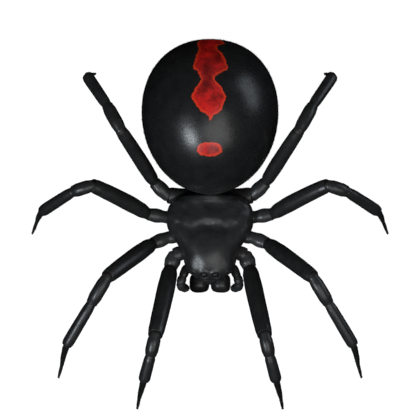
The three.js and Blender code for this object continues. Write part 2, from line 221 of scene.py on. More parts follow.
class Form:
    """Points, faces and per-point values of a piece, gathered surface by surface."""

    def __init__(self):
        self.points, self.faces, self.values, self.count = [], [], {}, 0

    def loft(self, rings, **values):
        """A closed surface through rings of points, each end closed with a fan."""
        rings = np.asarray(rings, float)
        rows, columns = rings.shape[:2]
        points = np.vstack([rings.reshape(-1, 3), rings[0].mean(0), rings[-1].mean(0)])
        i, j = np.mgrid[0:rows - 1, 0:columns]
        here, beside = i * columns + j, i * columns + (j + 1) % columns
        quads = np.stack([here, beside, beside + columns, here + columns], -1).reshape(-1, 4)
        k = np.arange(columns)
        first, last = rows * columns, rows * columns + 1
        start = np.stack([(k + 1) % columns, k, np.full(columns, first)], -1)
        end_row = (rows - 1) * columns
        end = np.stack([end_row + k, end_row + (k + 1) % columns, np.full(columns, last)], -1)
        a, b, c, d = (points[quads[:, n]] for n in range(4))
        flux = (np.cross(c - a, d - b) * (a + b + c + d - 4 * points[-1])).sum()
        if flux < 0:
            quads, start, end = quads[:, ::-1], start[:, ::-1], end[:, ::-1]
        for faces in (quads, start, end):
            self.faces.extend((faces + self.count).tolist())
        self.points.append(points)
        self.count += len(points)
        for name, value in values.items():
            value = np.asarray(value, float)
            if value.ndim:
                value = np.append(value.reshape(-1), [value[0].mean(), value[-1].mean()])
            self.values.setdefault(name, []).append(np.broadcast_to(value, len(points)))

    def piece(self, name, material, slot, nodes=()):
        """Makes the mesh, with nothing below the floor, and places it in the frame."""
        points = np.vstack(self.points)
        points[:, 2] = np.maximum(points[:, 2], 0)
        mesh = bpy.data.meshes.new(name)
        mesh.from_pydata((points * MM).tolist(), [], self.faces)
        mesh.polygons.foreach_set("use_smooth", np.ones(len(mesh.polygons), bool))
        for value_name, parts in self.values.items():
            layer = mesh.attributes.new(value_name, "FLOAT", "POINT")
            layer.data.foreach_set("value", np.concatenate(parts).astype(np.float32))
        mesh.materials.append(material)
        mesh.update()
        piece = new_object(name, mesh)
        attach(piece, "root")
        if nodes:
            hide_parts(*nodes)
        return mesh


def loft_piece(name, rings, material, slot, nodes=(), **values):
    """A piece of one closed surface."""
    form = Form()
    form.loft(rings, **values)
    form.piece(name, material, slot, nodes)


def normals_of(rings):
    """Outward normals at the points of a closed grid of rings."""
    ahead = np.gradient(rings, axis=0)
    across = (np.roll(rings, -1, 1) - np.roll(rings, 1, 1)) / 2
    normals = unit(np.cross(across, ahead))
    outward = ((rings - rings.mean((0, 1))) * normals).sum()
    return normals if outward > 0 else -normals


# The rounding of a tube's end: how far out each ring lies and how wide it is, in radii
END_RINGS = ((1, 0.05), (0.8, 0.6), (0.45, 0.89))


def tube(path, widths, sides, ends=0.5):
    """Rings round a curved path, with rounded ends."""
    ahead = unit(np.gradient(path, axis=0))
    across = unit(np.cross(ahead, [0.31, 0.2, 0.93]))
    up = np.cross(across, ahead)
    radii = widths / 2
    wheel = wheel_of(full_turn(sides), across[:, None], up[:, None])
    rings = [path[0] - ahead[0] * radii[0] * ends * out + wheel[0] * radii[0] * wide
             for out, wide in END_RINGS]
    rings += [path[k] + wheel[k] * radii[k] for k in range(len(path))]
    rings += [path[-1] + ahead[-1] * radii[-1] * ends * out + wheel[-1] * radii[-1] * wide
              for out, wide in reversed(END_RINGS)]
    return np.array(rings)


# Materials

RANGE_SOCKETS = ("From Min", "From Max", "To Min", "To Max")


class Nodes:
    """A short way to build a material's node tree."""

    def __init__(self, name):
        self.material = bpy.data.materials.new(name)
        self.material.use_nodes = True
        self.tree = self.material.node_tree
        self.shader = self.tree.nodes["Principled BSDF"]

    def feed(self, socket, item):
        """Links a socket to another, or sets it to a number or a colour."""
        if isinstance(item, bpy.types.NodeSocket):
            self.tree.links.new(item, socket)
        else:
            socket.default_value = (*item, 1) if isinstance(item, tuple) else item

    def new(self, kind, inputs, **settings):
        node = self.tree.nodes.new(kind)
        for key, value in settings.items():
            setattr(node, key, value)
        for key, item in inputs.items():
            self.feed(node.inputs[key], item)
        return node

    def place(self):
        return self.new("ShaderNodeTexCoord", {}).outputs["Object"]

    def noise(self, cell, detail=3.0, roughness=0.55):
        """Smooth noise with cells of this many millimetres."""
        inputs = {"Scale": 1 / (cell * MM), "Detail": detail, "Roughness": roughness, "Vector": self.place()}
        return self.new("ShaderNodeTexNoise", inputs).outputs["Fac"]

    def cells(self, size):
        """Distance to scattered points about this many millimetres apart."""
        inputs = {"Scale": 1 / (size * MM), "Vector": self.place()}
        return self.new("ShaderNodeTexVoronoi", inputs).outputs["Distance"]

    def value(self, name):
        return self.new("ShaderNodeAttribute", {}, attribute_name=name).outputs["Fac"]

    def spread(self, source, *limits):
        """Values between the first two limits, carried over to lie between the last two."""
        inputs = {"Value": source, **dict(zip(RANGE_SOCKETS, limits))}
        return self.new("ShaderNodeMapRange", inputs, interpolation_type="SMOOTHSTEP").outputs["Result"]

    def patchy(self, cell, low, high, detail=2):
        """Values from low to high in patches of this many millimetres."""
        return self.spread(self.noise(cell, detail), 0.3, 0.7, low, high)

    def maths(self, operation, first, second):
        return self.new("ShaderNodeMath", {0: first, 1: second}, operation=operation).outputs[0]

    def ramp(self, source, stops):
        node = self.new("ShaderNodeValToRGB", {"Fac": source})
        elements = node.color_ramp.elements
        while len(elements) < len(stops):
            elements.new(0.5)
        for element, (at, colour) in zip(elements, stops):
            element.position = at
            element.color = (*colour, 1)
        return node.outputs["Color"]

    def mix(self, share, first, second):
        """The first colour, and the second where the share is 1."""
        inputs = {"Factor": share, 6: first, 7: second}
        return self.new("ShaderNodeMix", inputs, data_type="RGBA").outputs[2]

    def bump(self, height, depth, **under):
        """A bump that is this many millimetres deep, on top of another that is given as Normal."""
        inputs = {"Distance": depth * MM, "Height": height, **under}
        return self.new("ShaderNodeBump", inputs).outputs["Normal"]

    def finish(self, colour, roughness, **settings):
        for key, item in {"Base_Color": colour, "Roughness": roughness, **settings}.items():
            self.feed(self.shader.inputs[key.replace("_", " ")], item)
        return self.material


# Painted highlight: the paler colour of the hips stands in for light caught on their tops
HIP_PAINTED_LIGHT_COLOUR = (0.043, 0.043, 0.044)
MEMBRANE_COLOUR = (0.017, 0.014, 0.0125)
RED_STOPS = [(0.34, (0.22, 0.007, 0.006)), (0.6, (0.76, 0.015, 0.013))]
RED_RIM = (0.88, 0.045, 0.009)
RED_DUSK = (0.09, 0.004, 0.004)
RED_SPECK = (0.1, 0.01, 0.008)
BELLY_PLATE_COLOUR = (0.05, 0.026, 0.017)
FANG_STOPS = [(0, (0.012, 0.008, 0.007)), (0.45, (0.05, 0.014, 0.008)), (1, (0.012, 0.005, 0.004))]


def cuticle(name, dark, light, roughness, grain, grain_depth, membrane=False):
    """Hard black skin: a soft grain, a slow change of tone and patchy gloss; on limbs also dark joints and a
    painted highlight on the hips.
    """
    nodes = Nodes(name)
    colour = nodes.ramp(nodes.noise(0.45, 4), [(0.3, dark), (0.75, light)])
    gloss = nodes.patchy(0.09, roughness - 0.04, roughness + 0.06)
    normal = nodes.bump(nodes.cells(grain), grain_depth)
    normal = nodes.bump(nodes.noise(grain * 2.6, 3), grain_depth * 1.6, Normal=normal)
    if membrane:
        soft = nodes.value("membrane")
        # Painted highlight: the hips get a paler colour that stands in for light on their tops
        colour = nodes.mix(nodes.value("hip"), colour, HIP_PAINTED_LIGHT_COLOUR)
        colour = nodes.mix(soft, colour, MEMBRANE_COLOUR)
        gloss = nodes.maths("ADD", gloss, nodes.maths("MULTIPLY", soft, 0.22))
    return nodes.finish(colour, gloss, Normal=normal, IOR=1.5)


def red_marks(nodes, black):
    """The red marks on black skin: bright rims, a mottled darker middle and fine dark specks."""
    ragged = nodes.maths("MULTIPLY", nodes.maths("SUBTRACT", nodes.noise(0.16, 3), 0.5), 0.16)
    depth = nodes.maths("ADD", nodes.value("mark"), ragged)
    covered = nodes.spread(depth, -0.012, 0.018, 0, 1)
    inner = nodes.spread(depth, 0.01, 0.17, 0, 1)
    tone = nodes.ramp(nodes.noise(0.5, 5, 0.7), RED_STOPS)
    tone = nodes.mix(nodes.value("dusk"), tone, RED_DUSK)
    red = nodes.mix(inner, RED_RIM, tone)
    specks = nodes.spread(nodes.cells(0.075), 0.08, 0.26, 0.55, 0)
    red = nodes.mix(specks, red, RED_SPECK)
    return nodes.mix(covered, black, red)


def abdomen_material():
    nodes = Nodes("abdomen_cuticle")
    black = nodes.ramp(nodes.noise(0.6, 4), [(0.3, (0.011, 0.011, 0.0115)), (0.75, (0.019, 0.019, 0.0195))])
    colour = red_marks(nodes, black)
    colour = nodes.mix(nodes.value("plate"), colour, BELLY_PLATE_COLOUR)
    gloss = nodes.patchy(0.08, 0.26, 0.31)
    normal = nodes.bump(nodes.cells(0.05), 0.0025)
    normal = nodes.bump(nodes.noise(0.07, 2), 0.002, Normal=normal)
    return nodes.finish(colour, gloss, Normal=normal, IOR=1.5)


def eye_material():
    nodes = Nodes("eye_lens")
    colour = nodes.ramp(nodes.noise(0.12, 2), [(0.35, (0.009, 0.009, 0.0095)), (0.7, (0.021, 0.02, 0.0195))])
    return nodes.finish(colour, 0.19, IOR=1.34)


def fang_material():
    nodes = Nodes("fang_horn")
    colour = nodes.ramp(nodes.value("along"), FANG_STOPS)
    gloss = nodes.patchy(0.06, 0.14, 0.24)
    return nodes.finish(colour, gloss, Normal=nodes.bump(nodes.noise(0.05, 2), 0.002), IOR=1.5)


def hair_material():
    nodes = Nodes("setae")
    colour = nodes.ramp(nodes.noise(0.3, 2), [(0.3, (0.008, 0.007, 0.007)), (0.7, (0.022, 0.018, 0.016))])
    gloss = nodes.patchy(0.2, 0.42, 0.6, 1)
    return nodes.finish(colour, gloss, IOR=1.45)


SHELL_SKIN = cuticle("carapace_cuticle", (0.018, 0.018, 0.0185), (0.031, 0.031, 0.0315), 0.34, 0.06, 0.003)
LEG_SKIN = cuticle("leg_cuticle", (0.0145, 0.0145, 0.015), (0.0265, 0.0265, 0.027), 0.34, 0.05, 0.0016, True)
JAW_SKIN = cuticle("jaw_cuticle", (0.013, 0.0125, 0.0125), (0.024, 0.023, 0.023), 0.36, 0.055, 0.003, True)
PLATE_SKIN = cuticle("underside_cuticle", (0.011, 0.01, 0.0095), (0.024, 0.02, 0.017), 0.42, 0.09, 0.006)
ABDOMEN_SKIN = abdomen_material()
EYE_GLASS = eye_material()
FANG_HORN = fang_material()
SETAE = hair_material()


# The carapace: the shell over head and thorax, down to its belly

HEAD_GROOVE = [(0, -0.02), (0.5, -0.04), (0.97, -0.2), (1.22, -0.66), (1.32, -1.3)]
THORAX_GROOVES = [
    [(0.9, -0.2), (1.4, 0), (2.1, 0.05)],
    [(0.7, 0.5), (1.4, 0.72), (2.2, 0.75)],
    [(0.45, 0.75), (0.9, 1.15), (1.3, 1.45)],
]
HEAD_GROOVE_DEPTH, HEAD_GROOVE_REACH = 0.078, 0.3
THORAX_GROOVE_DEPTH, THORAX_GROOVE_REACH = 0.026, 0.2
# Hollows and swellings of the back: height, centre and reach. All but the fovea bend back
# towards the sides, as the head groove does, by the arch.
FOVEA = (-0.06, (0, -0.02), (0.2, 0.2))
REAR_DIP = (-0.055, (0, 1.12), (0.6, 0.24))
CREST = (0.05, (0, 0.52), (1.2, 0.36))
ARCH = 0.23
REAR_LIP = {"height": 0.08, "along": 1.54, "reach": 0.19, "half_width": 1.2}
EDGE_LIP = {"height": 0.035, "reach": 0.09, "start": -2.2, "run": 0.8}
HEAD_RIPPLE, THORAX_RIPPLE, THORAX_UNEVENNESS = 0.006, 0.014, 0.016
# The shoulders of the head: where each plane lies, how far it reaches and how it slopes, the
# height that the back has there at least, and how much of a gap it evens out, up to a limit
HEAD_PLANE = {
    "out": 0.69, "along": -2.03, "reach": (0.46, 0.38), "side_slope": 0.32, "rise": 0.28,
    "lowest": 3.3, "share": 0.85, "limit": 0.1,
}
EYE_ROWS = ["anterior_median", "anterior_lateral", "posterior_median", "posterior_lateral"]
EYES = [f"{row}_{side}" for side in SIDES for row in EYE_ROWS]
# The rim of an eye's socket: its width and height, and both for the large posterior median eyes
SOCKET_RIM = (0.045, 0.028)
LARGE_RIM = (0.065, 0.042)
SOCKET_SWELL = {"height": 0.03, "reach": 0.22}
SOCKET_PIT = 0.05


def node_middle(name):
    """Centre and radius of a round node of the frame."""
    low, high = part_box(name)
    return np.array((low + high) / 2) / MM, (high.x - low.x) / MM / 2


def shell_rings(ways, angles):
    """Rings of the shell at shares of its length, without the relief of the back."""
    stations = spline(SHELL_STATIONS, ways)
    along, half, edge, back, belly = (stations[:, k][:, None] for k in range(5))
    half = np.maximum(half, 0)
    out_share, up_share = np.cos(angles)[None], np.sin(angles)[None]
    top_out = half * squared(out_share, SHELL_FULLNESS)
    top_up = edge + np.maximum(0, back - edge) * squared(np.maximum(up_share, 0), SHELL_FULLNESS)
    turn = np.arcsin(np.clip(-up_share, 0, 1)) / (math.pi / 2)
    profile = spline(BELLY_SHARES, turn[0])
    low_out = half * np.sign(out_share) * profile[:, 0][None]
    low_up = edge - np.maximum(0, edge - belly) * profile[:, 1][None]
    above = up_share >= 0
    out = np.where(above, top_out, low_out)
    up = np.where(above, top_up, low_up)
    return np.stack([out, np.broadcast_to(along, out.shape), up], -1)


def head_planes(rings):
    """Height that evens the two shoulders of the head out to gently sloping planes."""
    size = HEAD_PLANE
    height = np.zeros(rings.shape[:2])
    on_back = rings[..., 2] > size["lowest"]
    for sign in SIDES.values():
        centre = np.array([sign * size["out"], size["along"]])
        gap = rings[..., :2] - centre
        near = np.argmin(np.where(on_back, (gap**2).sum(-1), np.inf))
        level = rings.reshape(-1, 3)[near, 2]
        plane = level - sign * size["side_slope"] * gap[..., 0] + size["rise"] * gap[..., 1]
        lift = np.clip(plane - rings[..., 2], -size["limit"], size["limit"])
        height += size["share"] * lift * mound(rings[..., :2], centre, size["reach"]) * on_back
    return height


def shell_relief(rings, angles):
    """Height of the carved and raised forms of the back, at each point of the shell."""
    x, y = rings[..., 0], rings[..., 1]
    out = np.abs(x)
    spots = np.stack([out, y], -1)
    arched = np.stack([out, y + ARCH * out**2], -1)
    height = mounds(spots, [FOVEA]) + mounds(arched, [REAR_DIP, CREST])
    fade = 1 - 0.65 * np.clip(out / 1.1, 0, 1)
    height -= HEAD_GROOVE_DEPTH * fade * ridge(line_gap(arched, HEAD_GROOVE), HEAD_GROOVE_REACH)
    nearest = np.min([line_gap(spots, line) for line in THORAX_GROOVES], axis=0)
    height -= THORAX_GROOVE_DEPTH * ridge(nearest, THORAX_GROOVE_REACH)
    lip = REAR_LIP
    across = np.clip(lip["half_width"] - out, 0, 1)
    height += lip["height"] * ridge(arched[..., 1] - lip["along"], lip["reach"]) * across
    thorax = np.clip((y + 0.6) / 0.8, 0, 1)
    ripple = np.sin(5.1 * x + 0.6) * np.sin(4.3 * y + 1.1)
    uneven = np.sin(9.1 * x + 3.4 * y + 1) * np.sin(2.8 * x - 9.7 * y) * np.clip(out - 0.5, 0, 1)
    height += (HEAD_RIPPLE + THORAX_RIPPLE * thorax) * ripple + THORAX_UNEVENNESS * thorax * uneven
    top = np.clip(np.sin(angles), 0, 1)[None] ** 0.5
    lip = EDGE_LIP
    above_edge = np.arctan2(np.sin(angles), np.abs(np.cos(angles)))[None]
    share = np.clip((y - lip["start"]) / lip["run"], 0, 1)
    edge = lip["height"] * ridge(above_edge, lip["reach"]) * share
    return height * top + head_planes(rings) + edge


def eye_sockets(rings):
    """Each eye sits in a shallow pit with a raised rim."""
    height = np.zeros(rings.shape[:2])
    for eye in EYES:
        centre, radius = node_middle(f"eye_{eye}")
        gap = np.linalg.norm(rings - centre, axis=-1)
        width, lift = LARGE_RIM if eye.startswith("posterior_median") else SOCKET_RIM
        rim = lift * ridge(gap - radius - 1.2 * width, width)
        swell = SOCKET_SWELL["height"] * ridge(gap, radius + SOCKET_SWELL["reach"])
        pit = SOCKET_PIT * np.exp(-((gap / radius) ** 4))
        height = np.maximum(height, rim + swell) - pit
    return height


def carapace():
    ways = np.linspace(0.004, 0.996, 250)
    angles = full_turn(260)
    rings = shell_rings(ways, angles)
    relief = shell_relief(rings, angles) + eye_sockets(rings)
    calm_ends = np.clip(np.minimum(ways, 1 - ways) / 0.03, 0, 1)[:, None]
    rings = rings + normals_of(rings) * (relief * calm_ends)[..., None]
    loft_piece("carapace", rings, SHELL_SKIN, "shell_cuticle", ["prosoma"])


# The plates of the underside: rows of a place along and a half width there
STERNUM_OUTLINE = [
    (-1.42, 0.02), (-1.38, 0.6), (-0.9, 0.82), (-0.2, 0.95), (0.4, 0.86), (0.95, 0.56), (1.35, 0.2),
    (1.42, 0.02),
]
LABIUM_OUTLINE = [(-1.82, 0.02), (-1.79, 0.2), (-1.6, 0.29), (-1.46, 0.26), (-1.42, 0.02)]
PLATE_FULLNESS = 2.4
PLATE_EDGE = 0.4
ENDITE_PATH = [(0.62, -1.86, 2.12), (0.48, -2.12, 2.1), (0.34, -2.36, 2.12), (0.2, -2.5, 2.18)]
ENDITE_WIDTHS = [(0, 0.3), (0.35, 0.44), (0.75, 0.38), (1, 0.16)]


def plate(name, outline, up, thickness):
    """A convex plate, which thins out where it is narrow."""
    along, half = spline(outline, np.linspace(0, 1, 44)).T
    turns = full_turn(48)
    wide, high = squared(np.cos(turns), PLATE_FULLNESS), squared(np.sin(turns), PLATE_FULLNESS)
    thick = thickness * np.minimum(1, half / (PLATE_EDGE * half.max()))
    rings = [np.outer(half, wide), np.outer(along, np.ones(len(turns))), up + np.outer(thick, high)]
    loft_piece(name, np.stack(rings, -1), PLATE_SKIN, "shell_cuticle")


def underside_plates():
    plate("sternum", STERNUM_OUTLINE, 1.93, 0.15)
    plate("labium", LABIUM_OUTLINE, 2.02, 0.13)
    shares = np.linspace(0, 1, 24)
    for side, sign in SIDES.items():
        path = spline(ENDITE_PATH, shares) * (sign, 1, 1)
        rings = tube(path, eased(shares, ENDITE_WIDTHS), 24)
        loft_piece(f"endite_{side}", rings, PLATE_SKIN, "shell_cuticle")


# The eyes: glossy domes in their sockets


def eyes():
    out, along, up = np.eye(3)
    down = pole_to_pole(30, 0.02)[:, None, None]
    ball = np.sin(down) * wheel_of(full_turn(40), out, along) + np.cos(down) * up
    for eye in EYES:
        centre, radius = node_middle(f"eye_{eye}")
        loft_piece(f"lens_{eye}", centre + ball * radius, EYE_GLASS, "eye_lens", [f"eye_{eye}"])


# The abdomen

MARK_LEFT_EDGE = [
    (-0.5, 10.5), (-0.64, 9.95), (-0.66, 9.6), (-0.61, 9.38), (-0.57, 9.1), (-0.6, 8.9), (-0.7, 8.66),
    (-0.78, 8.37), (-0.87, 8.02), (-0.64, 7.82), (-0.45, 7.41), (-0.61, 7.15), (-0.8, 6.9), (-0.97, 6.53),
    (-0.77, 6.19), (-0.51, 5.81), (-0.26, 5.71), (-0.08, 5.52), (0.04, 5.22),
]
MARK_RIGHT_EDGE = [
    (0.13, 5.53), (0.38, 5.69), (0.58, 5.81), (0.67, 6.13), (0.83, 6.53), (0.56, 7.06), (0.27, 7.34),
    (0.21, 7.51), (0.38, 7.66), (0.94, 7.95), (0.8, 8.4), (0.64, 8.72), (0.4, 8.96), (0.36, 9.18),
    (0.38, 9.42), (0.76, 9.78), (0.68, 10.1), (0.5, 10.55), (0, 10.75),
]
FRONT_BAR = {"centre": (-0.02, 3.85), "half": (0.64, 0.36), "fullness": 2.3}
SLOPE_START = 8.9
HOURGLASS = {"centre": 5.55, "half_length": 1.15, "end": 0.62, "waist": 0.15}
# Darker clouds inside the marks of the back, by share, centre and reach
DUSKY_SPOTS = [
    (1, (-0.2, 7.15), (0.32, 0.34)), (1, (-0.16, 7.95), (0.3, 0.5)),
    (1, (0.42, 8.55), (0.26, 0.36)), (1, (0.36, 3.8), (0.13, 0.15)),
]
DUSK = 0.75
# Dents and swellings of the skin: height, centre and reach
SIGILLA = [(-0.006, centre, 0.24) for centre in ((1.2, 5.35), (1.3, 6.55), (1.0, 7.8))]
GENITAL_PLATE = [(0.12, (0, 3.62), (0.42, 0.22)), (-0.09, (0, 3.7), (0.2, 0.07))]
GENITAL_TINT = (0.9, (0, 3.62), (0.4, 0.2))
# Furrows across the belly: along, arch, depth, reach, half width and the length of their ends
FURROWS = [(3.95, 0.1, 0.07, 0.06, 1.9, 0.5), (6.72, 0, 0.03, 0.045, 0.55, 0.2)]
LUNG_COVER = {"centre": (1.08, 3.3), "reach": (0.75, 0.5), "height": 0.05}
# How far below the abdomen's axis the marks of the back end and the tint of the plates starts
BACK_ENDS, TINT_STARTS = 2.4, 1


def abdomen_rings(shares, angles):
    """Rings of the abdomen at shares from -1 at its front to 1 at its rear."""
    size = ABDOMEN
    behind = shares > 0
    length = np.where(behind, size["rear"], size["front"])
    fullness = np.where(behind, size["rear_fullness"], size["front_fullness"])
    girth = superellipse(shares, fullness)[:, None]
    droop = np.where(behind, size["droop"] * shares**2, 0)[:, None]
    height = np.where(np.sin(angles) > 0, size["rise"], size["drop"])[None]
    out = size["half_width"] * girth * np.cos(angles)[None]
    along = np.broadcast_to((size["widest"] + length * shares)[:, None], out.shape)
    up = size["axis"] - droop + height * girth * np.sin(angles)[None]
    return np.stack([out, along, up], -1)


def rear_station(along):
    """Girth of the abdomen and height of its axis at a place behind its widest."""
    share = (along - ABDOMEN["widest"]) / ABDOMEN["rear"]
    girth = superellipse(share, ABDOMEN["rear_fullness"])
    return girth, ABDOMEN["axis"] - ABDOMEN["droop"] * share**2


def inside_outline(spots, outline):
    """Signed distance of flat spots from a closed outline, positive inside."""
    closed = np.array([*outline, outline[0]], float)
    inside = np.zeros(spots.shape[:-1], bool)
    for a, b in zip(closed[:-1], closed[1:]):
        crosses = (a[1] > spots[..., 1]) != (b[1] > spots[..., 1])
        if a[1] != b[1]:
            reach = a[0] + (spots[..., 1] - a[1]) / (b[1] - a[1]) * (b[0] - a[0])
            inside ^= crosses & (spots[..., 0] < reach)
    return np.where(inside, 1, -1) * line_gap(spots, closed)


def back_mark(points):
    """Depth inside the red marks of the back, with the rear strip carried down the slope."""
    girth, axis = rear_station(SLOPE_START)
    across = np.clip(1 - (points[..., 0] / (ABDOMEN["half_width"] * girth)) ** 2, 0, 1)
    slope_top = axis + ABDOMEN["rise"] * girth * np.sqrt(across)
    drop = np.hypot(points[..., 1] - SLOPE_START, points[..., 2] - slope_top)
    reach = np.where(points[..., 1] > SLOPE_START, SLOPE_START + drop, points[..., 1])
    spots = np.stack([points[..., 0], reach], -1)
    mark = inside_outline(spots, MARK_LEFT_EDGE + MARK_RIGHT_EDGE)
    bar = FRONT_BAR
    share = np.abs((spots - bar["centre"]) / bar["half"]) ** bar["fullness"]
    bar_depth = (1 - share.sum(-1) ** (1 / bar["fullness"])) * min(bar["half"])
    return np.maximum(mark, bar_depth)


def belly_mark(points):
    """Depth inside the hourglass of the belly."""
    size = HOURGLASS
    away = np.abs(points[..., 1] - size["centre"])
    half = size["waist"] + (size["end"] - size["waist"]) * (away / size["half_length"]) ** 1.15
    return np.minimum((half - np.abs(points[..., 0])) * 0.85, size["half_length"] - away)


def lung_covers(flat):
    """Height of a dome over each lung, 1 at its middle and below 0 outside."""
    return 1 - (((flat - LUNG_COVER["centre"]) / LUNG_COVER["reach"]) ** 2).sum(-1)


def abdomen_relief(points):
    """Height of the skin's dents, furrows and plates."""
    x, y = np.abs(points[..., 0]), points[..., 1]
    above = points[..., 2] > ABDOMEN["axis"]
    flat = np.stack([x, y], -1)
    belly = LUNG_COVER["height"] * np.clip(lung_covers(flat) + 0.25, 0, 1) + mounds(flat, GENITAL_PLATE)
    for along, arch, depth, reach, half_width, end in FURROWS:
        across = np.clip((half_width - x) / end, 0, 1)
        belly -= depth * ridge(y - along - arch * x**2, reach) * across
    ripple = np.sin(2.3 * x + 1.4 * y) * np.sin(1.7 * y - 0.9 * points[..., 2])
    ripple += 0.5 * np.sin(4.1 * y + 3.3 * x)
    return np.where(above, mounds(flat, SIGILLA), belly) + 0.004 * ripple


def abdomen():
    rings = abdomen_rings(-np.cos(pole_to_pole(210, 0.012)), full_turn(260))
    above = rings[..., 2] > ABDOMEN["axis"] - BACK_ENDS
    mark = np.where(above, back_mark(rings), belly_mark(rings))
    dusk = mounds(rings[..., :2], DUSKY_SPOTS)
    flat = np.stack([np.abs(rings[..., 0]), rings[..., 1]], -1)
    lungs = np.clip(lung_covers(flat) + 0.1, 0, 0.3) * 2
    genital = mounds(flat, [GENITAL_TINT])
    under = rings[..., 2] < ABDOMEN["axis"] - TINT_STARTS
    loft_piece(
        "abdomen_skin", rings + normals_of(rings) * abdomen_relief(rings)[..., None],
        ABDOMEN_SKIN, "abdomen_skin", ["abdomen"],
        mark=np.clip(mark, -1, 1),
        dusk=np.clip(dusk, 0, 1) * DUSK * above,
        plate=np.clip(np.maximum(lungs, genital), 0, 1) * under,
    )


def waist():
    shares = np.linspace(0, 1, 60)
    path = spline(WAIST_PATH, shares)
    folds = 1 + 0.05 * np.sin(shares * 46)
    widths = WAIST_WIDTH * eased(shares, WAIST_SHAPE) * folds
    loft_piece("waist", tube(path, widths, 36), LEG_SKIN, "shell_cuticle", ["pedicel"], membrane=0.4)


# The spinnerets

SPINNERETS_ALONG = 7.35
# Cones in pairs and along the middle: out, along, width and length
SPINNERET_PAIRS = [(0.23, -0.2, 0.38, 0.46), (0.1, 0.02, 0.18, 0.34), (0.2, 0.22, 0.3, 0.42)]
MIDDLE_CONES = [(0, 0.5, 0.32, 0.26), (0, -0.42, 0.13, 0.1)]
SPINNERET_SHAPE = [(0, 0.95), (0.55, 1), (0.66, 0.86), (0.7, 0.8), (0.93, 0.62), (1, 0.34)]
MOUND = {"width": 0.98, "start": (0, 0.02, 0.4), "run": (0, 0.08, -0.52)}
MOUND_SHAPE = [(0, 1), (0.7, 1), (1, 0.8)]


def belly_height(along):
    girth, axis = rear_station(along)
    return axis - ABDOMEN["drop"] * girth


def spinneret(form, out, along, width, length):
    """A two-jointed cone with a blunt tip."""
    root = belly_height(SPINNERETS_ALONG + along)
    start = np.array([out, SPINNERETS_ALONG + along - 0.06, root + 0.2])
    end = np.array([out * 0.8, SPINNERETS_ALONG + along + 0.12, root - length])
    shares = np.linspace(0, 1, 30)
    path = start + np.outer(shares, end - start)
    form.loft(tube(path, width * eased(shares, SPINNERET_SHAPE), 22), membrane=0.25)


def spinnerets():
    form = Form()
    pairs = [(sign * out, *rest) for sign in SIDES.values() for out, *rest in SPINNERET_PAIRS]
    for out, along, width, length in pairs + MIDDLE_CONES:
        spinneret(form, out, along, width, length)
    root = np.array([0, SPINNERETS_ALONG, belly_height(SPINNERETS_ALONG)])
    shares = np.linspace(0, 1, 16)
    path = root + MOUND["start"] + np.outer(shares, MOUND["run"])
    form.loft(tube(path, MOUND["width"] * eased(shares, MOUND_SHAPE), 40, 0.1), membrane=0.3)
    form.piece("spinneret_cluster", LEG_SKIN, "abdomen_skin", ["spinnerets"])


# Legs and feelers

# The rounding of a segment's root, by angles, and how far it reaches back in root radii
ROOT_ANGLES = (0.15, 0.5, 0.9, 1.25)
ROOT_REACH = 0.6
# The lip at its end, by angles and as a share of the end's radius, and the hollow inside it
LIP_ANGLES = (0.5, 1.0, 1.5, 2.2)
LIP_SHARE = 0.06
LIP_HOLLOW = [(0.02, 0.72), (0.1, 0.6)]
ROW_LENGTH = 0.09
LIMB_SIDES = 30


class Segment:
    """One segment of a limb: a slightly bowed tube between two joints."""

    # The tone is the share of painted highlight on the segment: a paler colour that stands in for light on
    # the hips
    def __init__(self, start, end, kind, width, across, tone):
        self.start, self.kind, self.width, self.tone = start, kind, width, tone
        self.run = end - start
        self.length = np.linalg.norm(self.run)
        self.axis = self.run / self.length
        self.across = unit(across - self.axis * (across @ self.axis))
        self.up = np.cross(self.across, self.axis)
        self.bow = SEGMENT_BOWS.get(kind, 0) * self.length

    def centre(self, share):
        share = np.asarray(share, float)
        arch = self.bow * np.clip(4 * share * (1 - share), 0, 1)
        return self.start + share[..., None] * self.run + arch[..., None] * self.up

    def radius(self, share):
        return self.width / 2 * eased(share, SEGMENT_SHAPES[self.kind])

    def wheel(self, turn):
        """Direction out of the axis: 0 is the side, a quarter turn is the back."""
        return wheel_of(turn, self.across, self.up)

    def add_to(self, form):
        wheel = self.wheel(full_turn(LIMB_SIDES))
        first, last = self.radius(0.0), self.radius(1.0)
        body = np.linspace(0, 1, max(10, int(self.length / ROW_LENGTH)))
        rows = [(-ROOT_REACH * first * math.cos(t), first * math.sin(t)) for t in ROOT_ANGLES]
        rows += [(share * self.length, self.radius(share)) for share in body]
        lip = LIP_SHARE * last
        rows += [(self.length + lip * math.sin(t), last - lip * (1 - math.cos(t))) for t in LIP_ANGLES]
        rows += [(self.length - depth, last * share) for depth, share in LIP_HOLLOW]
        rings = [self.centre(at / self.length) + wheel * radius for at, radius in rows]
        # The tone goes on as the share of the painted highlight of the hips
        form.loft(rings, membrane=0, hip=self.tone)


def add_membrane(form, spot, ahead, across, radius):
    """The soft folded skin inside a joint."""
    down = pole_to_pole(26, 0.03)
    folds = radius * (1 + 0.03 * np.sin(down * 14))
    wheel = wheel_of(full_turn(24), across, np.cross(across, ahead))
    rings = [spot + ahead * r * math.cos(t) + wheel * r * math.sin(t) for t, r in zip(down, folds)]
    form.loft(rings, membrane=1, hip=0)


def limb_segments(joints, kinds, widths, painted_light_shares, sign):
    """The segments of a limb on one side of the body."""
    spots = np.array([(sign * out, along, up) for out, along, up in joints], float)
    outward = spots[-1] - spots[0]
    outward[2] = 0
    across = unit(np.cross(outward, [0, 0, 1]))
    return [Segment(a, b, kind, widths[kind], across, painted_light_shares.get(kind, 0))
            for a, b, kind in zip(spots, spots[1:], kinds)]


